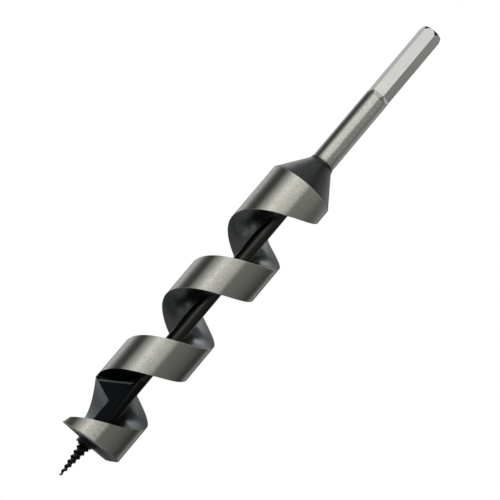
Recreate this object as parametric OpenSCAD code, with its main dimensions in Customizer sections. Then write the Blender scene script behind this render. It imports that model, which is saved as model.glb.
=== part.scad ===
// Auger bit with one flute, a solid centre, a hexagonal drive and a lead screw.
// The point of the lead screw is at the origin, and +Z runs up the axis to the drive.
// Bearings are in degrees from +X round towards +Y, and go on past 360 as the flight climbs.

/* [Overall] */
// Length from the point of the lead screw to the end of the hex
overall_l = 235; // [225:1:260]
// Diameter of the hole that the bit bores
bore_d = 28; // [25:0.5:32]

/* [Shank] */
// Diameter of the round shank
shank_d = 10; // [9.6:0.1:10.3]
// Length of the round shank, from the shoulder to the hex
shank_l = 35.6; // [28:0.2:42]
// Distance across the flats of the hex
hex_af = 8.7; // [8.6:0.05:9.2]
// Depth of the narrow flats that blunt the hex's corners
corner_depth = 0.05; // [0.02:0.01:0.15]
// Length of the hex, with the bevels at its lower end
hex_l = 37.2; // [30:0.2:42]
// Length of the bevel where a flat runs out into the round
flat_bevel_l = 1.9; // [1:0.1:3]
// Length of the turned chamfer at the drive end
end_chamfer_l = 2; // [1:0.1:3]
// Depth of that chamfer
end_chamfer_depth = 0.75; // [0.4:0.05:1]
// Width of the small chamfer where the shank sits on the shoulder
seat_chamfer = 0.3; // [0.1:0.05:0.5]

/* [Shoulder] */
// Length of the cone between the twist and the shank
shoulder_l = 13.9; // [10:0.1:17]
// Diameter of the neck at the cone's top
neck_d = 10.6; // [10.4:0.1:11.5]
// Length of the neck
neck_l = 0.6; // [0.3:0.1:1.5]
// Length of the curve from the cone into the neck
neck_curve_l = 1.2; // [0.6:0.1:2]

/* [Core] */
// Diameter of the centre bar that the flight winds round
core_d = 6; // [5:0.1:6.8]
// Depth of the hole in the core's nose, for the stem of the lead screw
stem_hole_l = 9; // [6:0.5:14]

/* [Flight] */
// Climb of the flight in one turn
pitch = 41.2; // [39:0.1:43]
// Width of the land at the rim, along the axis
land_w = 17; // [15:0.1:18]
// How far the upper face dips from the rim to the core
dish_h = 1.8; // [0.5:0.1:3]
// How far the lower face rises from the rim to the core
rise_h = 2.2; // [0.5:0.1:3]
// Least height of the full-diameter drum that is left above the end of the flute
drum_h = 3.4; // [2:0.1:6]
// Bearing that the flute takes to run out at its top end
flute_end_angle = 60; // [45:5:120]
// Least steel left between the flute and the shoulder, where the flute is highest
drum_web = 0.4; // [0.2:0.1:2]

/* [Cutting head] */
// Height of the cutting lip above the point of the lead screw
lip_z = 15.7; // [15:0.1:17]
// Bearing of the lip's outer end
lip_angle = 208; // [200:1:215]
// Height of the land's upper edge above the lip at its outer end
lip_h = 2.35; // [1.8:0.05:3]
// Thickness of the lip's edge
lip_t = 0.2; // [0.1:0.05:0.4]
// Bearing over which the rake face climbs from the lip to the upper face
rake_angle = 8; // [5:1:14]
// Greatest height of the end face above the lip, behind it
relief_h = 2.75; // [1.5:0.05:3.2]
// Distance from the axis to the inner side of the mouth
mouth_x = 4.1; // [4.1:0.05:4.8]
// Radius of the arch over the mouth
mouth_r = 13.3; // [12.8:0.1:15]
// Height of the arch's crown above the lip, at the rim
mouth_h = 22.2; // [20.5:0.1:23]
// Fall of the crown for each unit of length towards the core
mouth_slope = 0.4; // [0.2:0.02:0.5]
// Bearing at which the flat behind the mouth touches the core
wall_angle = 258; // [250:1:262]
// Bearing past the flat at which the head is joined to the flight
joint_angle = 100; // [95:5:130]

/* [Spur] */
// Width of the scoring spur, in from the rim
spur_w = 1.7; // [1:0.1:2.5]
// How far the spur's edge stands below the lip
spur_drop = 0.05; // [0.05:0.05:0.4]

/* [Nose] */
// Diameter of the collar above the lead screw
collar_d = 8; // [7.4:0.1:8.1]
// Height of the collar's shoulder below the lip
collar_drop = 1.3; // [0.8:0.1:1.8]
// Depth of the collar's seat in the head, above the lip
seat_h = 3.4; // [3:0.1:5]
// Length of the chamfer from the collar to the lead screw
collar_chamfer_l = 0.9; // [0.5:0.1:1.3]

/* [Lead screw] */
// Diameter over the threads, at the collar
screw_d = 5; // [4.2:0.1:5.6]
// Diameter over the threads at the point
point_d = 0.9; // [0.5:0.05:1.2]
// Height of the thread above the root, at the collar
thread_h = 0.75; // [0.4:0.05:0.9]
// Climb of the thread in one turn
thread_pitch = 2.15; // [1.8:0.05:2.6]
// Diameter of the plain stem that goes up into the core
stem_d = 3.2; // [2.4:0.1:3.6]

/* [Hidden] */
$fn = 96;

// Clearance on the radius where one piece fits in another
fit = 0.01;
// Length by which a cut runs past what it cuts
overrun = 1;

bore_r = bore_d / 2;
core_r = core_d / 2;
shank_r = shank_d / 2;
collar_r = collar_d / 2;

hex_z = overall_l - hex_l;
shank_z = hex_z - shank_l;
shoulder_z = shank_z - shoulder_l;
// The core and the shank's spigot meet half way up the shoulder
spigot_z = shoulder_z + shoulder_l / 2;
seat_z = lip_z + seat_h;
collar_z = lip_z - collar_drop;
screw_l = collar_z - collar_chamfer_l;
spur_r = bore_r - spur_w;

// Bearing of one flat of the hex
hex_turn_angle = 256.6;
flight_step_angle = 5;
head_step_angle = 6;
// Rows across the flight, as shares of the way from the core to the rim
row_shares = [0, 0.1, 0.25, 0.5, 0.78, 1];
// Height of the end face behind the lip: shares of the way from lip to mouth, and of relief_h
face_shares = [[0, 0.02], [0.155, 0.42], [0.49, 0.9], [0.59, 1], [0.68, 0.75], [0.76, 0.28], [1, 0.4]];
// The spur's edge: shares of its own bearing, and of the height of the end face at its far end
spur_shares = [[0, 0], [0.33, 0], [0.78, 0.55], [1, 0.96]];
// Share of the way from lip to mouth that the spur takes
spur_span_share = 0.39;
// How sharply the flight's faces bend up to the core
web_power = 1.6;

function lerp(a, b, t) = a + (b - a) * t;
function ease(t) = t <= 0 ? 0 : t >= 1 ? 1 : t * t * (3 - 2 * t);
function at(r, a, z) = [r * cos(a), r * sin(a), z];

// The two edges of the land at the rim, and the faces of the flight at radius r
function upper_edge(a) = lip_z + lip_h + pitch * (a - lip_angle) / 360;
function lower_edge(a) = upper_edge(a) - land_w;
function web_share(r) = pow(max(0, (bore_r - r) / (bore_r - core_r)), web_power);
function upper_face(r, a) = upper_edge(a) - dish_h * web_share(r);
function lower_face(r, a) = lower_edge(a) + rise_h * web_share(r);

// Where the flute ends: half way between the faces of the last gap, drum_h below the shoulder
gap_h = pitch - land_w;
flute_top_angle = lip_angle + (shoulder_z - drum_h - gap_h / 2 - lip_z - lip_h) * 360 / pitch;
function flute_share(a) = ease((flute_top_angle - a) / flute_end_angle);
function gap_mid(a) = upper_edge(a) + gap_h / 2;
function flute_floor(r, a) =
    gap_mid(a) - (gap_h / 2 + dish_h * web_share(r)) * flute_share(a);
function flute_roof(r, a) =
    gap_mid(a - 360) + (gap_h / 2 + rise_h * web_share(r)) * flute_share(a - 360);

// Bearings, at radius r, of the straight lines that bound the head: the lip runs from the front
// of the core to the rim, the mouth's side stands mouth_x from the axis, and the flat touches the core
lip_tip = at(bore_r, lip_angle, 0);
lip_root = at(core_r, 270, 0);
lip_dir = (lip_tip - lip_root) / norm(lip_tip - lip_root);
lip_foot = lip_root * lip_dir;
function lip_reach(r) = -lip_foot + sqrt(max(0, lip_foot * lip_foot - core_r * core_r + r * r));
function lip_bearing(r) =
    let (p = lip_root + lip_dir * lip_reach(r)) 360 + atan2(p[1], p[0]);
function side_bearing(r) = 360 + acos(-mouth_x / max(r, mouth_x));
function wall_bearing(r) = 360 + wall_angle - acos(core_r / max(r, core_r));
side_angle = side_bearing(bore_r);
flat_angle = wall_bearing(bore_r);
head_end_angle = flat_angle + joint_angle;
span_angle = side_angle - lip_angle;
spur_angle = span_angle * spur_span_share;

// A column of the head stands at bearing u at the rim, and leans towards the nearest of the three lines
lean_angle = 86;
function lean(u, u0) = max(0, 1 - abs(u - u0) / lean_angle);
function bearing(u, r) =
    u + lean(u, lip_angle) * (lip_bearing(r) - lip_angle)
      + lean(u, side_angle) * (side_bearing(max(r, collar_r)) - side_angle)
      + lean(u, flat_angle) * (wall_bearing(r) - flat_angle);

function end_face(u) = lip_z + relief_h * lookup((u - lip_angle) / span_angle, face_shares);
spur_end_h = relief_h * lookup(spur_span_share, face_shares);
function spur_edge(u) =
    lip_z - spur_drop + (spur_end_h + spur_drop) * lookup((u - lip_angle) / spur_angle, spur_shares);

// The arch over the mouth: v is the way behind the flat, and w the way in from the rim
wall_dir = [-sin(wall_angle), cos(wall_angle)];
wall_normal = [-cos(wall_angle), -sin(wall_angle)];
wall_tip = [bore_r * cos(flat_angle), bore_r * sin(flat_angle)];
function arch(p) =
    let (v = max(0, (p - wall_tip) * wall_normal), w = (p - wall_tip) * wall_dir)
    lip_z + mouth_h - mouth_slope * w - mouth_r + sqrt(max(0, mouth_r * mouth_r - v * v));

function head_top(u, r) =
    let (a = bearing(u, r), full = upper_face(r, a))
    lerp(lip_z + lip_t, full, min(1, (u - lip_angle) / rake_angle));
function head_bottom(u, r) =
    let (a = bearing(u, r), roof = lower_face(r, a), floor_z = end_face(u))
    u >= flat_angle ? roof
    : r < collar_r + 2 * fit ? seat_z
    : u <= side_angle ? floor_z
    : max(floor_z, min(roof, arch([r * cos(a), r * sin(a)])));

// Points i, j of two like grids, floor and roof, closed all round to a solid
module slab(bottom, top) {
    ni = len(bottom);
    nj = len(bottom[0]);
    function id(side, i, j) = (side * ni + i) * nj + j;
    points = [for (side = [bottom, top]) for (column = side) for (p = column) p];
    quads = concat(
        [for (i = [0:ni - 2]) for (j = [0:nj - 2])
            [id(0, i, j), id(0, i, j + 1), id(0, i + 1, j + 1), id(0, i + 1, j)]],
        [for (i = [0:ni - 2]) for (j = [0:nj - 2])
            [id(1, i, j), id(1, i + 1, j), id(1, i + 1, j + 1), id(1, i, j + 1)]],
        [for (i = [0:ni - 2]) [id(0, i, 0), id(0, i + 1, 0), id(1, i + 1, 0), id(1, i, 0)]],
        [for (i = [0:ni - 2])
            [id(0, i, nj - 1), id(1, i, nj - 1), id(1, i + 1, nj - 1), id(0, i + 1, nj - 1)]],
        [for (j = [0:nj - 2]) [id(0, 0, j), id(1, 0, j), id(1, 0, j + 1), id(0, 0, j + 1)]],
        [for (j = [0:nj - 2])
            [id(0, ni - 1, j), id(0, ni - 1, j + 1), id(1, ni - 1, j + 1), id(1, ni - 1, j)]]);
    polyhedron(points, triangles(quads));
}

function triangles(quads) = [for (q = quads) for (k = [1:len(q) - 2]) [q[0], q[k], q[k + 1]]];

// Hexagonal drive and round shank, turned and milled from one bar, with a spigot below
module shank() {
    // What is milled away outside one flat, with the bevel where the flat runs out
    module flat_cut(turn_angle, flat_r, bevel_l) {
        rotate([90, 0, turn_angle])
            translate([0, 0, -shank_r])
                linear_extrude(shank_d)
                    polygon([
                        [flat_r, overall_l + overrun], [flat_r, hex_z + bevel_l],
                        [shank_r, hex_z], [shank_r + overrun, hex_z],
                        [shank_r + overrun, overall_l + overrun]]);
    }
    color("gainsboro")
    difference() {
        rotate_extrude()
            polygon([
                [0, spigot_z], [core_r, spigot_z], [core_r, shank_z],
                [shank_r - seat_chamfer, shank_z], [shank_r, shank_z + seat_chamfer],
                [shank_r, overall_l - end_chamfer_l],
                [shank_r - end_chamfer_depth, overall_l], [0, overall_l]]);
        for (side = [0:5]) {
            flat_cut(hex_turn_angle + side * 60, hex_af / 2, flat_bevel_l);
            flat_cut(hex_turn_angle + 30 + side * 60, shank_r - corner_depth, corner_depth);
        }
    }
}

// Cone between the twist and the shank, bored right through for the core and the spigot
module shoulder() {
    curve_r = neck_d / 2 + neck_curve_l / 2;
    color([0.2, 0.21, 0.23])
    rotate_extrude()
        polygon([
            [core_r + fit, shoulder_z], [bore_r, shoulder_z],
            [curve_r, shank_z - neck_l - neck_curve_l],
            [neck_d / 2 + neck_curve_l / 8, shank_z - neck_l - neck_curve_l / 3],
            [neck_d / 2, shank_z - neck_l], [neck_d / 2, shank_z], [core_r + fit, shank_z]]);
}

// Centre bar, with a hole in its nose for the stem of the lead screw
module core() {
    color([0.16, 0.17, 0.18])
    difference() {
        translate([0, 0, seat_z]) cylinder(h = spigot_z - seat_z, r = core_r);
        translate([0, 0, seat_z - overrun]) cylinder(h = stem_hole_l + overrun, r = stem_d / 2 + fit);
    }
}

// Helical flight from the head up to the full-diameter drum under the shoulder
module flight() {
    steps = ceil((flute_top_angle - head_end_angle) / flight_step_angle);
    per_turn = round(360 / flight_step_angle);
    rows = [for (s = row_shares) lerp(core_r + 2 * fit, bore_r, s)];
    last = len(rows) - 1;
    function a_of(i) = i <= steps ? lerp(head_end_angle, flute_top_angle, i / steps)
        : flute_top_angle + (i - steps) * flight_step_angle;
    function roof_or_lower(r, a) = min(shoulder_z - drum_web,
        a >= flute_top_angle + 360 - flute_end_angle ? flute_roof(r, a) : lower_face(r, a));
    function floor_or_upper(r, a) =
        a >= flute_top_angle - flute_end_angle ? flute_floor(r, a) : upper_face(r, a);
    turn_end = steps + per_turn;
    bottom = [for (i = [0:turn_end]) for (r = rows) at(r, a_of(i), roof_or_lower(r, a_of(i)))];
    top = [for (i = [0:steps - 1]) for (r = rows) at(r, a_of(i), floor_or_upper(r, a_of(i)))];
    rim = [for (k = [0:per_turn - 1]) for (r = [rows[0], bore_r])
        at(r, flute_top_angle + k * flight_step_angle, shoulder_z)];
    nj = last + 1;
    n_bottom = (turn_end + 1) * nj;
    function b(i, j) = i * nj + j;
    function t(i, j) = i == steps ? b(turn_end, j) : n_bottom + i * nj + j;
    function f(k, j) = n_bottom + steps * nj + (k % per_turn) * 2 + j;
    quads = concat(
        [for (i = [0:turn_end - 1]) for (j = [0:last - 1])
            [b(i, j), b(i, j + 1), b(i + 1, j + 1), b(i + 1, j)]],
        [for (i = [0:steps - 1]) for (j = [0:last - 1])
            [t(i, j), t(i + 1, j), t(i + 1, j + 1), t(i, j + 1)]],
        [for (i = [0:steps - 1]) [b(i, 0), b(i + 1, 0), t(i + 1, 0), t(i, 0)]],
        [for (i = [0:steps - 1]) [b(i, last), t(i, last), t(i + 1, last), b(i + 1, last)]],
        [for (j = [0:last - 1]) [b(0, j), t(0, j), t(0, j + 1), b(0, j + 1)]],
        [for (k = [0:per_turn - 1]) [f(k, 0), f(k + 1, 0), f(k + 1, 1), f(k, 1)]],
        [for (k = [1:per_turn - 1]) let (i = steps + k) [b(i, 0), b(i + 1, 0), f(k + 1, 0), f(k, 0)]],
        [for (k = [1:per_turn - 1]) let (i = steps + k) [b(i, last), f(k, 1), f(k + 1, 1), b(i + 1, last)]],
        [[b(turn_end, 0), b(steps, 0), b(steps + 1, 0), f(1, 0), f(0, 0)]],
        [[b(turn_end, last), f(0, 1), f(1, 1), b(steps + 1, last), b(steps, last)]]);
    color([0.75, 0.75, 0.73])
        polyhedron(concat(bottom, top, rim), triangles(quads));
}

// Last turn, closed below by the end face, with the lip, the mouth and the flat beside it
module cutting_head() {
    edge_angle = 0.2;
    rows = concat(
        [core_r + 2 * fit, collar_r + fit, collar_r + 3 * fit],
        [for (s = [0.3, 0.55]) lerp(core_r, bore_r, s)], [spur_r, bore_r]);
    function stretch(u0, u1) =
        let (n = ceil((u1 - u0) / head_step_angle)) [for (i = [0:n]) lerp(u0, u1, i / n)];
    columns = concat(
        [lip_angle], stretch(lip_angle + rake_angle, side_angle),
        stretch(side_angle + edge_angle, flat_angle - edge_angle),
        stretch(flat_angle, head_end_angle));
    color([0.62, 0.63, 0.63])
        slab(
            [for (u = columns) [for (r = rows) at(r, bearing(u, r), head_bottom(u, r))]],
            [for (u = columns) [for (r = rows) at(r, bearing(u, r), head_top(u, r))]]);
}

// Scoring spur at the rim, from the lip back along the end face
module spur() {
    first_angle = lip_angle + rake_angle;
    n = ceil((lip_angle + spur_angle - first_angle) / head_step_angle);
    columns = [for (i = [0:n]) lerp(first_angle, lip_angle + spur_angle, i / n)];
    color("silver")
        slab(
            [for (u = columns) [for (r = [spur_r, bore_r]) at(r, bearing(u, r), spur_edge(u))]],
            [for (u = columns) [for (r = [spur_r, bore_r]) at(r, bearing(u, r), end_face(u) - fit)]]);
}

// Collar between the end face and the lead screw, seated in the head
module nose_collar() {
    color([0.13, 0.14, 0.15])
    rotate_extrude()
        polygon([
            [stem_d / 2 + fit, screw_l], [screw_d / 2, screw_l], [collar_r, collar_z],
            [collar_r, seat_z], [stem_d / 2 + fit, seat_z]]);
}

// Tapered screw that draws the bit into the wood, with a plain stem above it
module lead_screw() {
    sides = 24;
    rings_per_turn = 8;
    rings = ceil(screw_l / thread_pitch * rings_per_turn);
    function crest(z) = lerp(point_d, screw_d, z / screw_l) / 2;
    function ridge(z, a) =
        let (t = z / thread_pitch - a / 360, f = t - floor(t)) abs(2 * f - 1);
    function radius(z, a) = crest(z) * (1 - 2 * thread_h / screw_d * (1 - ridge(z, a)));
    points = concat(
        [for (i = [0:rings]) for (k = [0:sides - 1])
            let (z = screw_l * i / rings, a = 360 * k / sides) at(radius(z, a), a, z)],
        [[0, 0, 0], [0, 0, screw_l]]);
    under = (rings + 1) * sides;
    faces = concat(
        triangles([for (i = [0:rings - 1]) for (k = [0:sides - 1]) let (m = (k + 1) % sides)
            [i * sides + k, (i + 1) * sides + k, (i + 1) * sides + m, i * sides + m]]),
        [for (k = [0:sides - 1]) [under, k, (k + 1) % sides]],
        [for (k = [0:sides - 1]) [under + 1, rings * sides + (k + 1) % sides, rings * sides + k]]);
    color([0.12, 0.13, 0.14]) {
        polyhedron(points, faces);
        translate([0, 0, screw_l]) cylinder(h = seat_z + stem_hole_l - overrun - screw_l, r = stem_d / 2);
    }
}

shank();
shoulder();
core();
flight();
cutting_head();
spur();
nose_collar();
lead_screw();
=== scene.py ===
import bpy
import math
from mathutils import Matrix, Vector


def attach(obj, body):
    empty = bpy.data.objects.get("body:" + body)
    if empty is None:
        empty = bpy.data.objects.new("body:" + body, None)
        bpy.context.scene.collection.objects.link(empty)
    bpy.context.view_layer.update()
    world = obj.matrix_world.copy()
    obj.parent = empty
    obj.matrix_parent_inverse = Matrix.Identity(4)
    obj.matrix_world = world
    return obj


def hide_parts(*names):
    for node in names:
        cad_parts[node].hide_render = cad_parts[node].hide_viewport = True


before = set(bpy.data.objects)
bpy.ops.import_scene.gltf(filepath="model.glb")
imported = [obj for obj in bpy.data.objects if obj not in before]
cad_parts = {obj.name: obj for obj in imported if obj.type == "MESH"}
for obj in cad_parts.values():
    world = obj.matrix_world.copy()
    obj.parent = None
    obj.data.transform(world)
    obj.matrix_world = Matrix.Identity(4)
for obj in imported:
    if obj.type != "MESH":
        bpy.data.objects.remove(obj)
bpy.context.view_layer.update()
mm = 0.001


# The camera stands low, level with the point, and is tilted so that the bit leans to the right.
viewpoint = {"aimHeight": 115.92, "distance": 731.8, "lookUp": 12.52, "lean": 40.1, "lens": 132.6,
             "sensor": 36, "slide": 0.15, "clipStart": 0.01, "clipEnd": 20}


def setCamera(v):
    up = math.radians(v["lookUp"])
    lean = math.radians(v["lean"])
    ahead = Vector((0, math.cos(up), math.sin(up)))
    side, top = Vector((1, 0, 0)), Vector((0, -math.sin(up), math.cos(up)))
    x = side * math.cos(lean) + top * math.sin(lean)
    y = top * math.cos(lean) - side * math.sin(lean)
    place = Vector((v["slide"], 0, v["aimHeight"])) - ahead * v["distance"]
    data = bpy.data.cameras.new("photoCamera")
    camera = bpy.data.objects.new("photoCamera", data)
    bpy.context.scene.collection.objects.link(camera)
    camera.matrix_world = Matrix.Translation(place * mm) @ Matrix((x, y, -ahead)).transposed().to_4x4()
    data.lens, data.sensor_width = v["lens"], v["sensor"]
    data.clip_start, data.clip_end = v["clipStart"], v["clipEnd"]
    bpy.context.scene.camera = camera


setCamera(viewpoint)
print("camera set")


# Tools for shaping, used by every piece.
def letGo():
    if bpy.context.mode != "OBJECT":
        bpy.ops.object.mode_set(mode="OBJECT")
    bpy.ops.object.select_all(action="DESELECT")


def pickUp(piece):
    letGo()
    piece.hide_set(False)
    piece.select_set(True)
    bpy.context.view_layer.objects.active = piece


def named(name):
    piece = bpy.context.object
    piece.name = piece.data.name = name
    return piece


def editAll(kind="VERT"):
    bpy.ops.object.mode_set(mode="EDIT")
    bpy.ops.mesh.select_mode(type=kind)
    bpy.ops.mesh.select_all(action="SELECT")


def faceOutward():
    bpy.ops.mesh.select_all(action="SELECT")
    bpy.ops.mesh.normals_make_consistent(inside=False)
    bpy.ops.object.mode_set(mode="OBJECT")


# Joins the points that are less than gap apart.
def closeUp(piece, gap=0.0015):
    pickUp(piece)
    editAll()
    bpy.ops.mesh.remove_doubles(threshold=gap * mm)
    bpy.ops.mesh.dissolve_degenerate(threshold=gap * mm)
    faceOutward()


def fillEnds(piece):
    pickUp(piece)
    editAll("EDGE")
    bpy.ops.mesh.select_all(action="DESELECT")
    bpy.ops.mesh.select_non_manifold(extend=False, use_wire=False, use_boundary=True,
                                     use_multi_face=False, use_non_contiguous=False, use_verts=False)
    bpy.ops.mesh.edge_face_add()
    bpy.ops.object.mode_set(mode="OBJECT")
    closeUp(piece)


def drawOutline(name, outline):
    letGo()
    bpy.ops.mesh.primitive_plane_add(size=mm, location=(0, 0, 0))
    piece = named(name)
    editAll()
    bpy.ops.mesh.merge(type="CENTER")
    bpy.ops.transform.translate(value=Vector(outline[0]) * mm)
    for start, end in zip(outline, outline[1:]):
        move = (Vector(end) - Vector(start)) * mm
        bpy.ops.mesh.extrude_vertices_move(TRANSFORM_OT_translate={"value": move})
    return piece


# Spins an outline of (radius, height) points round the axis.
def turn(name, outline, steps=192):
    piece = drawOutline(name, [(r, 0, z) for r, z in outline])
    bpy.ops.mesh.select_all(action="SELECT")
    bpy.ops.mesh.spin(steps=steps, angle=2 * math.pi, center=(0, 0, 0), axis=(0, 0, 1))
    bpy.ops.object.mode_set(mode="OBJECT")
    closeUp(piece)
    return piece


# A block whose corners go where place(x, y, z) says, each -1 or 1, and which then turns to a bearing.
def addBlock(name, place, bearing=0.0):
    letGo()
    bpy.ops.mesh.primitive_cube_add(size=2, location=(0, 0, 0))
    block = named(name)
    for point in block.data.vertices:
        point.co = Vector(place(*point.co)) * mm
    editAll()
    bpy.ops.transform.rotate(value=-math.radians(bearing), orient_axis="Z", center_override=(0, 0, 0))
    faceOutward()
    return block


def cutWith(piece, cutter):
    pickUp(piece)
    cut = piece.modifiers.new("cut", "BOOLEAN")
    cut.operation, cut.solver, cut.object = "DIFFERENCE", "EXACT", cutter
    bpy.ops.object.modifier_apply(modifier="cut")
    bpy.data.objects.remove(cutter, do_unlink=True)


def breakEdges(piece, width, angle, segments=2):
    pickUp(piece)
    edge = piece.modifiers.new("edge", "BEVEL")
    edge.width, edge.segments, edge.limit_method = width * mm, segments, "ANGLE"
    edge.angle_limit, edge.miter_outer = math.radians(angle), "MITER_ARC"
    edge.use_clamp_overlap = True
    bpy.ops.object.modifier_apply(modifier="edge")


def smoothBy(piece, angle):
    pickUp(piece)
    bpy.ops.object.shade_smooth_by_angle(angle=math.radians(angle))


# Large faces keep their own direction in the shading, so that only the rounded edges beside them turn.
def keepFlat(piece, angle):
    smoothBy(piece, angle)
    lean = piece.modifiers.new("lean", "WEIGHTED_NORMAL")
    lean.mode, lean.weight, lean.keep_sharp = "FACE_AREA", 50, True
    bpy.ops.object.modifier_apply(modifier="lean")


# A sheet of across x along squares, whose points then go where place(i, j) says.
def layNet(name, across, along, place):
    letGo()
    bpy.ops.mesh.primitive_grid_add(x_subdivisions=across, y_subdivisions=along, size=2)
    piece = named(name)
    for point in piece.data.vertices:
        i = round((point.co.x + 1) / 2 * across)
        j = round((point.co.y + 1) / 2 * along)
        point.co = Vector(place(i, j)) * mm
    closeUp(piece)
    return piece


# Gives each face the finish, by number, that choose(centre, normal) names.
def sortFaces(piece, choose):
    for face in piece.data.polygons:
        face.material_index = choose(face.center / mm, face.normal)


def finishPiece(piece, node, materials, choose=None):
    piece.data.materials.clear()
    for material in materials:
        piece.data.materials.append(material)
    if choose:
        sortFaces(piece, choose)
    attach(piece, "root")
    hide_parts(node)
    print(piece.name, "done:", len(piece.data.polygons), "faces")


# Tools for finishes.
def addNode(tree, kind, inputs, **settings):
    node = tree.nodes.new(kind)
    for name, value in settings.items():
        setattr(node, name, value)
    for name, value in inputs.items():
        if isinstance(value, bpy.types.NodeSocket):
            tree.links.new(value, node.inputs[name])
        else:
            node.inputs[name].default_value = value
    return node


def reckon(tree, how, a, b=0.0):
    return addNode(tree, "ShaderNodeMath", {0: a, 1: b}, operation=how).outputs[0]


# Goes from low to high while the value goes from start to end.
def fade(tree, value, start, end, low=0.0, high=1.0, how="LINEAR"):
    return addNode(tree, "ShaderNodeMapRange", {"Value": value, "From Min": start, "From Max": end,
                                                "To Min": low, "To Max": high},
                   interpolation_type=how).outputs[0]


def mixed(tree, share, a, b):
    return addNode(tree, "ShaderNodeMix", {0: share, 6: a, 7: b}, data_type="RGBA").outputs[2]


def scaled(tree, colour, share):
    return addNode(tree, "ShaderNodeVectorMath", {0: colour, "Scale": share}, operation="SCALE").outputs[0]


def grainOf(tree, place, stretch, scale, detail=2.0):
    spread = addNode(tree, "ShaderNodeMapping", {"Vector": place, "Scale": stretch}).outputs[0]
    return addNode(tree, "ShaderNodeTexNoise", {"Vector": spread, "Scale": scale,
                                                "Detail": detail}).outputs["Fac"]


def distanceFromAxis(tree, place):
    flat = addNode(tree, "ShaderNodeVectorMath", {0: place, 1: (1, 1, 0)}, operation="MULTIPLY").outputs[0]
    return addNode(tree, "ShaderNodeVectorMath", {0: flat}, operation="LENGTH").outputs["Value"]


# The tone of steel, about 0.5: a fine grain, marks that run round the axis, soft clouds and small pits.
def steelTone(tree, place, look, grain, marks):
    even = (1, 1, 1)
    clouds = grainOf(tree, place, even, look["cloudScale"], detail=1.0)
    tone = 0.5
    for part, depth in ((grain, look["grain"]), (marks, look["marks"]), (clouds, look["clouds"])):
        tone = reckon(tree, "ADD", tone, reckon(tree, "MULTIPLY", reckon(tree, "SUBTRACT", part, 0.5), depth))
    if look["pits"]:
        spots = fade(tree, grainOf(tree, place, even, look["pitScale"], detail=3.0), *look["pitSpan"])
        tone = reckon(tree, "SUBTRACT", tone, reckon(tree, "MULTIPLY", spots, look["pits"]))
    return tone


# Some looks also have painted shade on one side, are darker towards the core, or have a painted sheen at a
# slant.
def steelColour(tree, place, look, tone):
    colour = mixed(tree, tone, (*look["dark"], 1), (*look["light"], 1))
    # Painted shade: the part with low x, on the left, is darker.
    if look.get("shadeSide", 0):
        sideways = addNode(tree, "ShaderNodeSeparateXYZ", {0: place}).outputs[0]
        start, end = (x * mm for x in look["shadeSideSpan"])
        colour = scaled(tree, colour, fade(tree, sideways, start, end, 1 - look["shadeSide"], how="SMOOTHSTEP"))
    # Darker towards the core.
    if look.get("coreDarkening", 0):
        start, end = (r * mm for r in look["coreDarkeningSpan"])
        away = distanceFromAxis(tree, place)
        colour = scaled(tree, colour, fade(tree, away, start, end, 1 - look["coreDarkening"], how="SMOOTHSTEP"))
    # A painted sheen: the colour brightens where the surface is seen at a slant.
    if look.get("paintedSheen", 0):
        facing = addNode(tree, "ShaderNodeLayerWeight", {"Blend": 0.5}).outputs["Facing"]
        glow = reckon(tree, "MULTIPLY", reckon(tree, "POWER", facing, look["sheenPower"]), look["paintedSheen"])
        colour = scaled(tree, colour, reckon(tree, "ADD", glow, 1.0))
    return colour


def makeSteel(name, look):
    material = bpy.data.materials.new(name)
    material.use_nodes = True
    tree = material.node_tree
    shader = tree.nodes["Principled BSDF"]
    place = addNode(tree, "ShaderNodeTexCoord", {}).outputs["Object"]
    grain = grainOf(tree, place, (1, 1, 1), look["grainScale"])
    marks = grainOf(tree, place, look["markStretch"], look["markScale"], detail=3.0)
    tone = steelTone(tree, place, look, grain, marks)
    rough = fade(tree, tone, *look["toneSpan"], low=look["rough"] + look["roughSpread"],
                 high=look["rough"] - look["roughSpread"])
    bump = addNode(tree, "ShaderNodeBump", {"Height": reckon(tree, "ADD", grain, marks),
                                            "Strength": look["bump"], "Distance": look["bumpDepth"] * mm})
    tree.links.new(steelColour(tree, place, look, tone), shader.inputs["Base Color"])
    tree.links.new(rough, shader.inputs["Roughness"])
    tree.links.new(bump.outputs[0], shader.inputs["Normal"])
    shader.inputs["Metallic"].default_value = 1
    return material


# The looks. Scales are in waves to the metre; the spans of the painted shade on one side and of the darkening
# towards the core, and the bump's depth, are in mm.
brightLook = {"dark": (0.5, 0.5, 0.45), "light": (0.74, 0.735, 0.66), "rough": 0.17, "roughSpread": 0.05,
              "toneSpan": (0.2, 0.8), "grainScale": 1400, "grain": 1.7, "markStretch": (1, 1, 40),
              "markScale": 90, "marks": 0.25, "cloudScale": 110, "clouds": 0.3, "pits": 0.8,
              "pitScale": 500, "pitSpan": (0.7, 0.74), "bump": 0.12, "bumpDepth": 0.02}
shankLook = dict(brightLook, dark=(0.5, 0.495, 0.455), light=(0.73, 0.72, 0.665))
# A brighter copy of the ground steel for the rounded edges: a painted edge highlight.
edgeHighlightLook = dict(brightLook, dark=(0.75, 0.75, 0.7), light=(0.92, 0.92, 0.88), rough=0.5)
flatLook = dict(brightLook, dark=(0.71, 0.705, 0.665), light=(0.8, 0.795, 0.76), rough=0.24, grain=0.35,
                bump=0.03, cloudScale=260, clouds=0.5)
fluteLook = dict(brightLook, dark=(0.29, 0.312, 0.31), light=(0.42, 0.452, 0.45), rough=0.27, bump=0.05,
                 grain=0.5, pits=0)
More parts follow.
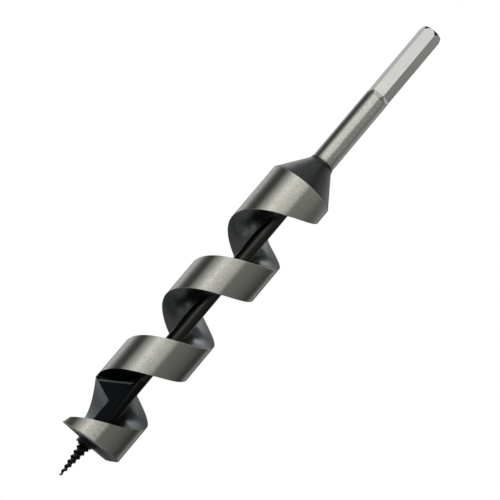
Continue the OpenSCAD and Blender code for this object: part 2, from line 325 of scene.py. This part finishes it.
# The head's flute is darker than the flight's, and darker still towards the core.
throatLook = dict(fluteLook, dark=(0.18, 0.195, 0.196), light=(0.27, 0.293, 0.295), coreDarkening=0.5,
                  coreDarkeningSpan=(4.0, 9.0))
facetLook = dict(fluteLook, dark=(0.36, 0.385, 0.385), light=(0.5, 0.53, 0.53), rough=0.3)
groundLook = dict(facetLook, dark=(0.7, 0.78, 0.77), light=(0.88, 0.97, 0.96))
wallLook = dict(fluteLook, dark=(0.006, 0.008, 0.009), light=(0.014, 0.017, 0.018), rough=0.42)
deepLook = dict(fluteLook, dark=(0.018, 0.019, 0.018), light=(0.035, 0.036, 0.034), rough=0.22)
# The core's left side carries painted shade.
coreLook = dict(deepLook, dark=(0.045, 0.045, 0.04), light=(0.095, 0.095, 0.082), shadeSide=0.82,
                shadeSideSpan=(-1.1, -0.45))
blackLook = dict(fluteLook, markStretch=(1, 1, 18), marks=1.0)
# The cone's brightening at a slant is a painted sheen.
coneLook = dict(blackLook, dark=(0.038, 0.042, 0.041), light=(0.074, 0.078, 0.078), paintedSheen=8.0,
                sheenPower=4.0)
scaleLook = dict(blackLook, dark=(0.01, 0.013, 0.02), light=(0.03, 0.035, 0.05), rough=0.3)
screwLook = dict(blackLook, dark=(0.05, 0.05, 0.043), light=(0.12, 0.115, 0.1), marks=0.5, rough=0.22)
collarLook = dict(screwLook, dark=(0.055, 0.062, 0.066), light=(0.13, 0.145, 0.15))

groundSteel = makeSteel("groundSteel", brightLook)
shankSteel = makeSteel("shankSteel", shankLook)
edgeHighlightSteel = makeSteel("edgeHighlightSteel", edgeHighlightLook)
milledSteel = makeSteel("milledSteel", flatLook)
fluteSteel = makeSteel("fluteSteel", fluteLook)
throatSteel = makeSteel("throatSteel", throatLook)
facetSteel = makeSteel("facetSteel", facetLook)
mouthSteel = makeSteel("mouthSteel", groundLook)
wallSteel = makeSteel("wallSteel", wallLook)
coreSteel = makeSteel("coreSteel", coreLook)
deepSteel = makeSteel("deepSteel", deepLook)
coneSteel = makeSteel("coneSteel", coneLook)
blueScale = makeSteel("blueScale", scaleLook)
screwSteel = makeSteel("screwSteel", screwLook)
collarSteel = makeSteel("collarSteel", collarLook)
print("finishes made")


# Sizes of the twist that the flight, the head and the core share, in mm and degrees. Web is the least steel
# under the shoulder, sunk is how far the nets reach into the core, and rim, landFacing and edgeFacing say
# which faces belong to the land and to its rounded edges, which carry a painted highlight.
twist = {"radius": 14.0, "coreRadius": 3.0, "pitch": 41.2, "landWidth": 17.0, "dish": 1.8, "rise": 2.2,
         "bend": 1.6, "lipHeight": 15.7, "lipBearing": 208.0, "lipRise": 2.35, "top": 148.3, "drum": 3.4,
         "web": 0.4, "runOut": 60.0, "edge": 0.16, "edgeAngles": (30, 60), "fillet": 0.12, "sunk": 0.08,
         "jointBearing": 640.4, "rim": 0.4, "landFacing": 0.94, "edgeFacing": 0.25}
gapHeight = twist["pitch"] - twist["landWidth"]
fluteTop = twist["lipBearing"] + (twist["top"] - twist["drum"] - gapHeight / 2 - twist["lipHeight"]
                                  - twist["lipRise"]) * 360 / twist["pitch"]


def bend(r):
    share = max(0.0, (twist["radius"] - r) / (twist["radius"] - twist["coreRadius"]))
    return min(share, 1.0) ** twist["bend"]


def fillet(r):
    size = twist["fillet"]
    inward = max(0.0, size - (r - twist["coreRadius"]))
    return size - math.sqrt(max(0.0, size * size - min(inward, size) ** 2))


def upperEdge(a):
    return twist["lipHeight"] + twist["lipRise"] + twist["pitch"] * (a - twist["lipBearing"]) / 360


def gapMiddle(a):
    return upperEdge(a) + gapHeight / 2


def ease(t):
    t = min(max(t, 0.0), 1.0)
    return t * t * (3 - 2 * t)


# The two faces of the land at radius r and bearing a. Both close on the gap's middle where the flute ends.
def upperFace(r, a):
    depth = ease((fluteTop - a) / twist["runOut"])
    return gapMiddle(a) - (gapHeight / 2 + twist["dish"] * bend(r) - fillet(r)) * depth


def lowerFace(r, a):
    depth = ease((fluteTop - a + 360) / twist["runOut"])
    return gapMiddle(a - 360) + (gapHeight / 2 + twist["rise"] * bend(r) - fillet(r)) * depth


def around(r, a, z):
    return (r * math.cos(math.radians(a)), r * math.sin(math.radians(a)), z)


# Where the rows of the nets lie: across the faces of the flute, up the land, and round its edges.
rowShares = [0, 0.012, 0.03, 0.055, 0.09, 0.15, 0.24, 0.34, 0.45, 0.56, 0.67, 0.78, 0.88, 0.95, 1]
rowSpan = twist["radius"] - twist["edge"] - twist["coreRadius"]
netRows = [twist["coreRadius"] - twist["sunk"]] + [twist["coreRadius"] + rowSpan * s for s in rowShares]
landShares = [0, 0.006, 0.25, 0.5, 0.75, 0.994, 1]
edgeTurns = [(math.sin(t), 1 - math.cos(t)) for t in map(math.radians, twist["edgeAngles"])]


# The closed loop of points round one section: up the land, in along the top, out along the bottom.
def sectionLoop(top, bottom):
    radius = twist["radius"]
    zTop, zBottom = top(radius), bottom(radius)
    edge = max(0.0, min(twist["edge"], (zTop - zBottom) / 2))
    loop = [(radius, zBottom + edge + (zTop - zBottom - 2 * edge) * s) for s in landShares]
    loop += [(radius - edge * fall, zTop - edge * (1 - out)) for out, fall in edgeTurns]
    loop += [(r, top(r)) for r in reversed(netRows)]
    loop += [(r, bottom(r)) for r in netRows]
    loop += [(radius - edge * fall, zBottom + edge * (1 - out)) for out, fall in reversed(edgeTurns)]
    return loop


# How squarely a face at the rim looks outward: 1 on the land, less on its rounded edges, 0 elsewhere.
def landShare(centre, normal):
    out = Vector((centre.x, centre.y, 0))
    return normal.dot(out.normalized()) if out.length > twist["radius"] - twist["rim"] else 0


# The flight starts where the head ends, and closes its gap under the shoulder. There its last turn lies on
# the one before, and the skins between the two go.
flightParts = {"step": 2.5, "seamGap": 0.004, "smooth": 30}


def makeFlight(parts):
    start = twist["jointBearing"]
    last = fluteTop + 360 + twist["drum"] * 360 / twist["pitch"]
    count = math.ceil((last - start) / parts["step"])
    bearings = [start + (last - start) * k / count for k in range(count + 1)]
    loops = []
    for a in bearings:
        ceiling = twist["top"] - (twist["web"] if a < fluteTop + 360 else 0)

        def top(r, a=a):
            return min(upperFace(r, a), twist["top"])

        def bottom(r, a=a, ceiling=ceiling):
            return min(lowerFace(r, a), ceiling)
        loops.append(sectionLoop(top, bottom))
    size = len(loops[0])

    def place(i, j):
        r, z = loops[i][j % size]
        return around(r, bearings[i], z)
    piece = layNet("flight", count, size, place)
    closeUp(piece, parts["seamGap"])
    editAll("FACE")
    bpy.ops.mesh.select_all(action="DESELECT")
    bpy.ops.mesh.select_interior_faces()
    bpy.ops.mesh.delete(type="FACE")
    bpy.ops.object.mode_set(mode="OBJECT")
    fillEnds(piece)
    keepFlat(piece, parts["smooth"])
    return piece


# Land 0, flute 1, rounded edge 2, made brighter as a painted highlight.
def flightFinish(centre, normal):
    share = landShare(centre, normal)
    return 0 if share > twist["landFacing"] else 2 if share > twist["edgeFacing"] else 1


flight = makeFlight(flightParts)
finishPiece(flight, "flight", [groundSteel, fluteSteel, edgeHighlightSteel], flightFinish)


# The head is the first turn, closed below by the end face and milled out beside the lip. The flat wall stands
# at wallBearing and touches the core, and faceHeights gives the end face's height round the head.
headParts = {"rakeBearing": 8.0, "rakeShares": (0, 0.075, 0.175, 0.325, 0.5, 0.7, 0.85, 1), "lipThick": 0.2,
             "relief": 2.75, "leastWall": 0.05, "step": 2.5, "landRows": 4, "smooth": 30,
             "wallBearing": 258.0, "leanOver": 86.0, "mouthSide": 4.1, "mouthRadius": 13.3,
             "mouthHeight": 22.2, "mouthFall": 0.4, "mouthBehind": 1.0, "mouthBelow": 20.0, "mouthWide": 22.0,
             "mouthAhead": 8.0, "mouthLong": 26.0, "mouthStep": 3, "creaseWidth": 0.9, "creaseShift": 0.08,
             "crease": ((-12.4, -0.43, 37.5), (-0.57, -2.95, 45.02)),
             "faceHeights": [(0, 0.02), (0.155, 0.42), (0.49, 0.9), (0.59, 1), (0.68, 0.75), (0.76, 0.28),
                             (1, 0.4)]}
lipTip = Vector(around(twist["radius"], twist["lipBearing"], 0))
lipRoot = Vector((0, -twist["coreRadius"], 0))
lipDir = (lipTip - lipRoot).normalized()
lipFoot = lipRoot.dot(lipDir)
wallNormal = Vector(around(1, headParts["wallBearing"], 0))


# Bearings, at radius r, of the lip, of the mouth's side and of the flat wall.
def lipBearingAt(r):
    reach = -lipFoot + math.sqrt(max(0.0, lipFoot ** 2 - twist["coreRadius"] ** 2 + r * r))
    p = lipRoot + lipDir * reach
    return 360 + math.degrees(math.atan2(p.y, p.x))


def sideBearingAt(r):
    return 360 + math.degrees(math.acos(-headParts["mouthSide"] / max(r, headParts["mouthSide"])))


def wallBearingAt(r):
    core = twist["coreRadius"]
    return 360 + headParts["wallBearing"] - math.degrees(math.acos(core / max(r, core)))


sideRim, wallRim = sideBearingAt(twist["radius"]), wallBearingAt(twist["radius"])


# The columns near the lip and near the wall follow them inward, instead of the radius.
def leaning(u, r):
    def near(u0):
        return max(0.0, 1 - abs(u - u0) / headParts["leanOver"])
    return (u + near(twist["lipBearing"]) * (lipBearingAt(r) - twist["lipBearing"])
            + near(wallRim) * (wallBearingAt(r) - wallRim))


def lookUp(shares, x):
    for (x0, y0), (x1, y1) in zip(shares, shares[1:]):
        if x <= x1:
            return y0 + (y1 - y0) * (x - x0) / (x1 - x0)
    return shares[-1][1]


def endFace(u):
    share = (u - twist["lipBearing"]) / (sideRim - twist["lipBearing"])
    return twist["lipHeight"] + headParts["relief"] * lookUp(headParts["faceHeights"], share)


def makeHead(parts):
    lip, wall, end = twist["lipBearing"], wallRim, twist["jointBearing"]
    bearings = [lip + parts["rakeBearing"] * share for share in parts["rakeShares"]]
    first = math.ceil((wall - bearings[-1]) / parts["step"])
    bearings += [bearings[-1] + (wall - bearings[-1]) * (k + 1) / first for k in range(first)]
    columns = [(u, False) for u in bearings]
    second = math.ceil((end - wall) / parts["step"])
    columns += [(wall + (end - wall) * k / second, True) for k in range(second + 1)]
    rows = netRows[:-1]
    radius = twist["radius"]
    loops = []
    for u, isOpen in columns:
        def top(r, u=u):
            full = upperFace(r, leaning(u, r))
            share = min(1.0, (u - lip) / parts["rakeBearing"])
            edge = twist["lipHeight"] + parts["lipThick"]
            return edge + (full - edge) * share

        def middle(r, u=u):
            roof = lowerFace(r, leaning(u, r))
            return max(endFace(u) + parts["leastWall"], min(roof, top(r) - parts["leastWall"]))

        def bottom(r, u=u, isOpen=isOpen):
            return lowerFace(r, leaning(u, r)) if isOpen else endFace(u)
        if isOpen:
            middle = bottom
        up = [(radius, bottom(radius))]
        up += [(radius, middle(radius) + (top(radius) - middle(radius)) * k / parts["landRows"])
               for k in range(parts["landRows"] + 1)]
        inward = [(r, top(r)) for r in reversed(rows)]
        down = [(rows[0], middle(rows[0]))]
        outward = [(r, bottom(r)) for r in rows]
        loops.append([(r, leaning(u, r), z) for r, z in up + inward + down + outward])
    size = len(loops[0])

    def place(i, j):
        return around(*loops[i][j % size])
    piece = layNet("cuttingHead", len(columns) - 1, size, place)
    fillEnds(piece)
    cutWith(piece, makeMouthCutter(parts))
    cutWith(piece, makeCreaseCutter(parts))
    smoothBy(piece, parts["smooth"])
    return piece


# A thin bar, set on edge along the line where the flat wall meets the roof, that leaves a fine groove.
def makeCreaseCutter(parts):
    start, end = (Vector(p) for p in parts["crease"])
    along = (end - start).normalized()
    up = wallNormal.cross(along).normalized()

    def place(x, y, z):
        on = start + (end - start) * (x + 1) / 2
        return on + ((y + z) * wallNormal + (z - y) * up) / 4 * parts["creaseWidth"] \
            + wallNormal * parts["creaseShift"]
    return addBlock("creaseCutter", place)


# An arched block, drawn across the flat wall and pulled in along it towards the core.
def makeMouthCutter(parts):
    bearing = math.radians(parts["wallBearing"])
    along = Vector((-math.sin(bearing), math.cos(bearing), 0))
    behind = Vector((-math.cos(bearing), -math.sin(bearing), 0))
    corner = Vector(around(twist["radius"], wallRim, 0))
    big, below, ahead = parts["mouthRadius"], -parts["mouthBelow"], parts["mouthAhead"]
    base = twist["lipHeight"] + parts["mouthHeight"] - big
    arch = [(-parts["mouthBehind"], below), (-parts["mouthBehind"], big)]
    arch += [(big * math.sin(math.radians(t)), big * math.cos(math.radians(t)))
             for t in range(0, 91, parts["mouthStep"])]
    arch += [(parts["mouthWide"], 0.0), (parts["mouthWide"], below)]
    start = corner - along * ahead + Vector((0, 0, base + parts["mouthFall"] * ahead))
    cutter = drawOutline("mouthCutter", [start + behind * v + Vector((0, 0, z)) for v, z in arch])
    bpy.ops.mesh.select_all(action="SELECT")
    bpy.ops.mesh.edge_face_add()
    pull = (along - Vector((0, 0, parts["mouthFall"]))) * parts["mouthLong"] * mm
    bpy.ops.mesh.extrude_region_move(TRANSFORM_OT_translate={"value": pull})
    bpy.ops.mesh.select_all(action="SELECT")
    bpy.ops.mesh.bisect(plane_co=(-parts["mouthSide"] * mm, 0, 0), plane_no=(1, 0, 0), use_fill=True,
                        clear_outer=True, clear_inner=False)
    faceOutward()
    return cutter


# Where the head's finishes lie: places in mm, how far a face is from the wall's plane (off), how squarely
# it looks out of the wall (facing), and how far it looks up or down (tilt).
headZones = {"wallFacing": 0.97, "wallOff": 1.0, "creaseFacing": 0.6, "creaseOff": 0.6, "creaseTilt": -0.5,
             "creaseLeft": -13.0, "creaseRight": -0.4, "creaseLow": 36.0, "creaseHigh": 46.0,
             "endFaceHigh": 3.5, "endFaceTilt": -0.3, "roofLow": 38.0, "roofBack": 2.0, "sideTilt": 0.2,
             "mouthRight": -3.0, "mouthHigh": 41.0, "mouthFront": -4.0}


# Land 0, flute 1, end face 2, the mouth's wall and roof 3, its ground side and the crease 4 (on the crease a
# painted highlight), rounded edge 5 (a painted highlight).
def headFinish(centre, normal):
    zone = headZones
    share = landShare(centre, normal)
    if share > twist["edgeFacing"]:
        return 0 if share > twist["landFacing"] else 5
    facing = normal.dot(wallNormal)
    off = abs(centre.dot(wallNormal) - twist["coreRadius"])
    if facing > zone["wallFacing"] and off < zone["wallOff"]:
        return 3
    # The crease's faces take the bright ground finish: a painted highlight along the crease.
    if facing > zone["creaseFacing"] and off < zone["creaseOff"] and normal.z < zone["creaseTilt"] \
            and zone["creaseLeft"] < centre.x < zone["creaseRight"] \
            and zone["creaseLow"] < centre.z < zone["creaseHigh"]:
        return 4
    if centre.z < twist["lipHeight"] + zone["endFaceHigh"] and normal.z < zone["endFaceTilt"]:
        return 2
    if normal.z < zone["sideTilt"]:
        if centre.z > zone["roofLow"] and centre.y < zone["roofBack"]:
            return 3
        if centre.x < zone["mouthRight"] and centre.y > zone["mouthFront"] and centre.z < zone["mouthHigh"]:
            return 4
    return 1


head = makeHead(headParts)
finishPiece(head, "cutting_head",
            [groundSteel, throatSteel, facetSteel, wallSteel, mouthSteel, edgeHighlightSteel], headFinish)


# The spur stands below the end face at the rim, and its inner side slopes up. Section is given as how far
# in from the rim and how far above the edge.
spurParts = {"width": 1.7, "drop": 0.05, "span": 0.39, "step": 2.5, "sunk": 0.15, "smooth": 35,
             "section": [(0, 0.12), (0.04, 0.03), (0.12, 0), (0.45, 0), (0.55, 0.06)],
             "edgeHeights": [(0, 0), (0.33, 0), (0.78, 0.55), (1, 0.96)]}


def makeSpur(parts):
    start = twist["lipBearing"] + headParts["rakeBearing"]
    span = (sideRim - twist["lipBearing"]) * parts["span"]
    end = twist["lipBearing"] + span
    count = math.ceil((end - start) / parts["step"])
    lift = headParts["relief"] * lookUp(headParts["faceHeights"], parts["span"]) + parts["drop"]
    outer, inner = twist["radius"], twist["radius"] - parts["width"]
    size = len(parts["section"]) + 2

    def place(i, j):
        u = start + (end - start) * i / count
        share = (u - twist["lipBearing"]) / span
        edge = twist["lipHeight"] - parts["drop"] + lift * lookUp(parts["edgeHeights"], share)
        root = endFace(u) + parts["sunk"]
        loop = [(outer, root)] + [(outer - x, edge + z) for x, z in parts["section"]] + [(inner, root)]
        r, z = loop[j % size]
        return around(r, leaning(u, r), z)
    piece = layNet("spur", count, size, place)
    fillEnds(piece)
    smoothBy(piece, parts["smooth"])
    return piece


spur = makeSpur(spurParts)
finishPiece(spur, "spur", [groundSteel])


# The core runs from the nose to the middle of the shoulder. Its foot is milled back along the flat wall, and
# it is darker up to deepTop, inside the head.
coreParts = {"bottom": 19.1, "top": 155.2, "flatLow": 2.45, "flatTop": 45.0, "flatFacing": 0.985,
             "deepTop": 48.0, "ring": 100.0, "sides": 96, "cutterOut": 6.0, "cutterHalf": 5.0, "smooth": 30}


def makeCore(parts):
    radius, low, top = twist["coreRadius"], parts["bottom"], parts["top"]
    piece = turn("core", [(0, low), (radius, low), (radius, parts["deepTop"]), (radius, parts["ring"]),
                          (radius, top), (0, top)], parts["sides"])

    def place(x, y, z):
        inner = parts["flatLow"] if z < 0 else radius
        return (inner if x < 0 else parts["cutterOut"], y * parts["cutterHalf"],
                low if z < 0 else parts["flatTop"])
    cutWith(piece, addBlock("coreCutter", place, headParts["wallBearing"]))
    smoothBy(piece, parts["smooth"])
    return piece


# Core 0, milled flat 1, inside the head 2.
def coreFinish(centre, normal):
    if centre.z > coreParts["deepTop"]:
        return 0
    return 1 if normal.dot(wallNormal) > coreParts["flatFacing"] else 2


core = makeCore(coreParts)
finishPiece(core, "core", [coreSteel, wallSteel, deepSteel], coreFinish)


# The shoulder is a cone that ends in a short neck. Side goes up its outside, as (radius, height).
shoulderParts = {"bore": 3.0, "foot": 148.3, "head": 162.2, "smooth": 30,
                 "side": [(13.86, 148.3), (14.0, 148.44), (13.946, 148.52), (5.954, 160.32), (5.9, 160.4),
                          (5.55, 161.0), (5.36, 161.5), (5.3, 161.9), (5.3, 162.15), (5.2, 162.2)]}


def makeShoulder(parts):
    bore, foot, top = parts["bore"], parts["foot"], parts["head"]
    piece = turn("shoulder", [(bore, foot)] + parts["side"] + [(bore, top), (bore, foot)])
    keepFlat(piece, parts["smooth"])
    return piece


shoulder = makeShoulder(shoulderParts)
finishPiece(shoulder, "shoulder", [coneSteel])


# The shank is turned, and then its flats are milled. Each groove is given as radius and height above the foot
# or above the start of the hexagon, and the chamfer as how far in and how far down.
shankParts = {"radius": 5.0, "spigot": 3.0, "spigotFoot": 155.3, "foot": 162.2, "end": 235.0,
              "flats": 8.7, "flatBearing": 256.6, "hexStart": 197.8, "runOut": 1.6, "edge": 0.05,
              "footGroove": [(4.7, 0), (4.96, 0.22), (4.96, 0.4), (4.86, 0.48), (4.86, 0.64), (5.0, 0.74)],
              "hexGroove": [(5.0, -0.5), (4.93, -0.44), (4.93, -0.3), (5.0, -0.22), (5.0, 1)],
              "chamferIn": 0.64, "chamferDown": 1.8, "rings": (180, 216), "cutterOut": 7.0, "cutterHalf": 6.0,
              "cutterRise": 5.0, "edgeAngle": 20, "smooth": 30, "scaleDown": 1.95, "scaleTilt": (0.15, 0.9),
              "flatReach": 4.92}


def makeShank(parts):
    radius, spigot, foot = parts["radius"], parts["spigot"], parts["foot"]
    start, end = parts["hexStart"], parts["end"]
    lowRing, highRing = parts["rings"]
    outline = [(0, parts["spigotFoot"]), (spigot, parts["spigotFoot"]), (spigot, foot)]
    outline += [(r, foot + z) for r, z in parts["footGroove"]] + [(radius, lowRing)]
    outline += [(r, start + z) for r, z in parts["hexGroove"]] + [(radius, highRing)]
    outline += [(radius, end - parts["chamferDown"]), (radius - parts["chamferIn"], end), (0, end)]
    piece = turn("shank", outline)
    inner = parts["flats"] / 2
    slope = parts["runOut"] / (radius - inner)

    def place(x, y, z):
        out = inner if x < 0 else parts["cutterOut"]
        low = start - slope * (out - radius)
        return (out, y * parts["cutterHalf"], low if z < 0 else end + parts["cutterRise"])
    for side in range(6):
        cutWith(piece, addBlock("flatCutter", place, parts["flatBearing"] + 60 * side))
    breakEdges(piece, parts["edge"], parts["edgeAngle"])
    keepFlat(piece, parts["smooth"])
    return piece


# Round bar 0, milled flat 1, and the turned chamfer 2, whose blue scale shows at the hexagon's corners.
def shankFinish(centre, normal):
    low, high = shankParts["scaleTilt"]
    if centre.z > shankParts["end"] - shankParts["scaleDown"] and low < normal.z < high:
        return 2
    inside = math.hypot(centre.x, centre.y) < shankParts["flatReach"]
    return 1 if inside and centre.z > shankParts["hexStart"] else 0


shank = makeShank(shankParts)
finishPiece(shank, "shank", [shankSteel, milledSteel, blueScale], shankFinish)


# The collar sits between the end face and the screw. Rim is given as (beyond the radius, above the rim), and
# all below slopeTop rises to the right.
collarParts = {"radius": 4.0, "top": 19.1, "rimHeight": 14.4, "foot": 13.5, "footRadius": 2.6,
               "rim": [(0, 0.6), (0.1, 0.3), (0.1, 0.1), (-0.1, -0.05), (-1.0, -0.25)],
               "slope": 0.2, "slopeTop": 15.4, "sides": 96, "smooth": 30}


def makeCollar(parts):
    radius, foot = parts["radius"], parts["foot"]
    outline = [(0, parts["top"]), (radius, parts["top"])]
    outline += [(radius + x, parts["rimHeight"] + z) for x, z in parts["rim"]]
    outline += [(parts["footRadius"], foot), (0, foot)]
    piece = turn("noseCollar", outline, parts["sides"])
    for point in piece.data.vertices:
        if point.co.z < parts["slopeTop"] * mm:
            point.co.z += parts["slope"] * (point.co.x + radius * mm)
    smoothBy(piece, parts["smooth"])
    return piece


collar = makeCollar(collarParts)
finishPiece(collar, "nose_collar", [collarSteel])


# The lead screw tapers to a blunt point. Each thread rises over lowerFlank of its pitch, from a flat root.
screwParts = {"length": 15.0, "crest": 2.8, "point": 0.6, "pitch": 2.17, "deep": 0.9, "shallow": 0.5,
              "sides": 48, "rings": 14, "lowerFlank": 0.38, "rootFlat": 0.15, "least": 0.02, "smooth": 40}


def makeScrew(parts):
    rings = math.ceil(parts["length"] / parts["pitch"] * parts["rings"])
    flank, flat = parts["lowerFlank"], parts["rootFlat"]

    def place(i, j):
        z = parts["length"] * j / rings
        a = 360.0 * (i % parts["sides"]) / parts["sides"]
        share = z / parts["length"]
        crest = parts["point"] + (parts["crest"] - parts["point"]) * share
        depth = parts["shallow"] + (parts["deep"] - parts["shallow"]) * share
        t = (z / parts["pitch"] - a / 360) % 1.0
        ridge = t / flank if t < flank else (1 - t) / (1 - flank)
        height = max(0.0, ridge * (1 + flat) - flat)
        return around(max(parts["least"], crest - depth * (1 - height)) if j else 0.0, a, z)
    piece = layNet("leadScrew", parts["sides"], rings, place)
    fillEnds(piece)
    smoothBy(piece, parts["smooth"])
    return piece


screw = makeScrew(screwParts)
finishPiece(screw, "lead_screw", [screwSteel])


# The studio: how bright its walls are by bearing, where 0 is the camera's side and 90 the right; lowWall is
# near the floor, highWall a little up, and ceiling overhead. The floor's distances are in metres: in
# reflections it carries a painted shadow near the bit and is brighter farther out, and it turns to plain
# white for the camera.
studio = {
    "lowWall": [(-180, 0.24), (-160, 0.36), (-150, 0.55), (-128, 0.54), (-116, 0.29), (-104, 0.105),
                (-90, 0.055), (-80, 0.065), (-66, 0.32), (-56, 0.48), (-44, 0.76), (-34, 0.92), (-20, 0.71),
                (0, 0.53), (10, 0.48), (19, 0.17), (50, 0.153), (90, 0.09), (106, 0.045), (114, 0.05),
                (124, 0.085), (140, 0.31), (152, 0.2), (165, 0.1), (180, 0.14)],
    "highWall": [(-180, 0.46), (-156, 0.64), (-136, 0.42), (-120, 0.155), (-104, 0.045), (-88, 0.05),
                 (-72, 0.16), (-56, 0.6), (-45, 0.95), (-36, 1.0), (-20, 1.0), (0, 1.0), (10, 0.8),
                 (21, 0.37), (50, 0.36), (66, 0.33), (82, 0.24), (94, 0.215), (108, 0.36), (120, 0.5),
                 (134, 0.36), (150, 0.19), (168, 0.2), (180, 0.28)],
    "ceiling": [(-180, 0.15), (-170, 0.26), (-160, 0.66), (-150, 0.75), (-140, 0.85), (-131, 0.82),
                (-120, 0.54), (-110, 0.42), (-97, 0.52), (-81, 0.5), (-55, 0.6), (0, 0.52), (55, 0.19),
                (81, 0.25), (97, 0.5), (110, 0.54), (120, 0.44), (130, 0.5), (140, 0.5), (150, 0.31),
                (159, 0.32), (168, 0.2), (180, 0.15)],
    "wallSpan": (0.256, 0.276), "ceilingSpan": (0.335, 0.52), "behindFrom": 115,
    "front": (1.0, 1.0, 1.0), "behind": (1.0, 0.995, 1.03),
    "floorHeight": -60.0, "floorRadius": 3000.0, "floorSides": 64, "floorColour": (0.8, 0.8, 0.79),
    "floorInSteel": (0.25, 0.25, 0.25), "paperGlow": 0.5, "whiteSpan": (0.25, 0.9),
    "shadowSpan": (0.045, 0.105), "shadowShare": 0.28, "liftSpan": (0.25, 0.6), "liftShare": 2.6}


def wallRamp(tree, turnShare, levels):
    ramp = addNode(tree, "ShaderNodeValToRGB", {"Fac": turnShare})
    stops = ramp.color_ramp.elements
    while len(stops) > 1:
        stops.remove(stops[-1])
    for k, (bearing, level) in enumerate(levels):
        stop = stops[0] if k == 0 else stops.new((bearing + 180) / 360)
        stop.position = (bearing + 180) / 360
        tint = studio["behind"] if abs(bearing) > studio["behindFrom"] else studio["front"]
        stop.color = [level * t for t in tint] + [1]
    return ramp.outputs[0]


# The camera sees plain white behind the bit, and everything else sees the room.
def setWorld(s):
    world = bpy.data.worlds.new("studio")
    bpy.context.scene.world = world
    world.use_nodes = True
    tree = world.node_tree
    tree.nodes.clear()
    look = addNode(tree, "ShaderNodeTexCoord", {}).outputs["Generated"]
    part = addNode(tree, "ShaderNodeSeparateXYZ", {0: look})
    bearing = reckon(tree, "ARCTAN2", part.outputs["X"], reckon(tree, "MULTIPLY", part.outputs["Y"], -1.0))
    turnShare = reckon(tree, "ADD", reckon(tree, "DIVIDE", bearing, 2 * math.pi), 0.5)
    low, high, overhead = (wallRamp(tree, turnShare, s[name]) for name in ("lowWall", "highWall", "ceiling"))
    wall = mixed(tree, fade(tree, part.outputs["Z"], *s["wallSpan"]), low, high)
    room = mixed(tree, fade(tree, part.outputs["Z"], *s["ceilingSpan"]), wall, overhead)
    lit = addNode(tree, "ShaderNodeBackground", {"Color": room, "Strength": 1.0})
    white = addNode(tree, "ShaderNodeBackground", {"Color": (1, 1, 1, 1), "Strength": 1.0})
    path = addNode(tree, "ShaderNodeLightPath", {})
    mix = addNode(tree, "ShaderNodeMixShader", {0: path.outputs["Is Camera Ray"], 1: lit.outputs[0],
                                                2: white.outputs[0]})
    addNode(tree, "ShaderNodeOutputWorld", {"Surface": mix.outputs[0]})


# The floor is pale and keeps the shadow near the bit; farther out the camera sees plain white.
def layFloor(s):
    letGo()
    bpy.ops.mesh.primitive_circle_add(vertices=s["floorSides"], radius=s["floorRadius"] * mm,
                                      fill_type="NGON", location=(0, 0, 0))
    floor = named("studioFloor")
    for point in floor.data.vertices:
        point.co.z = s["floorHeight"] * mm
    material = bpy.data.materials.new("floorPaper")
    material.use_nodes = True
    tree = material.node_tree
    tree.nodes.clear()
    away = distanceFromAxis(tree, addNode(tree, "ShaderNodeTexCoord", {}).outputs["Object"])
    seen = addNode(tree, "ShaderNodeLightPath", {}).outputs["Is Camera Ray"]
    # In reflections the floor carries a painted shadow near the bit.
    paintedShadow = fade(tree, away, *s["shadowSpan"], low=s["shadowShare"])
    lift = fade(tree, away, *s["liftSpan"], low=1.0, high=s["liftShare"])
    inSteel = scaled(tree, s["floorInSteel"], reckon(tree, "MULTIPLY", paintedShadow, lift))
    tone = mixed(tree, seen, inSteel, (*s["floorColour"], 1))
    matt = addNode(tree, "ShaderNodeBsdfDiffuse", {"Color": tone})
    glow = addNode(tree, "ShaderNodeEmission", {"Color": (1, 1, 1, 1),
                                                "Strength": reckon(tree, "MULTIPLY", seen, s["paperGlow"])})
    paper = addNode(tree, "ShaderNodeAddShader", {0: matt.outputs[0], 1: glow.outputs[0]})
    white = addNode(tree, "ShaderNodeEmission", {"Color": (1, 1, 1, 1), "Strength": 1.0})
    far = fade(tree, away, *s["whiteSpan"], how="SMOOTHSTEP")
    mix = addNode(tree, "ShaderNodeMixShader", {0: reckon(tree, "MULTIPLY", far, seen), 1: paper.outputs[0],
                                                2: white.outputs[0]})
    addNode(tree, "ShaderNodeOutputMaterial", {"Surface": mix.outputs[0]})
    floor.data.materials.append(material)


setWorld(studio)
layFloor(studio)
bpy.context.scene.view_settings.view_transform = "Standard"
print("studio set")
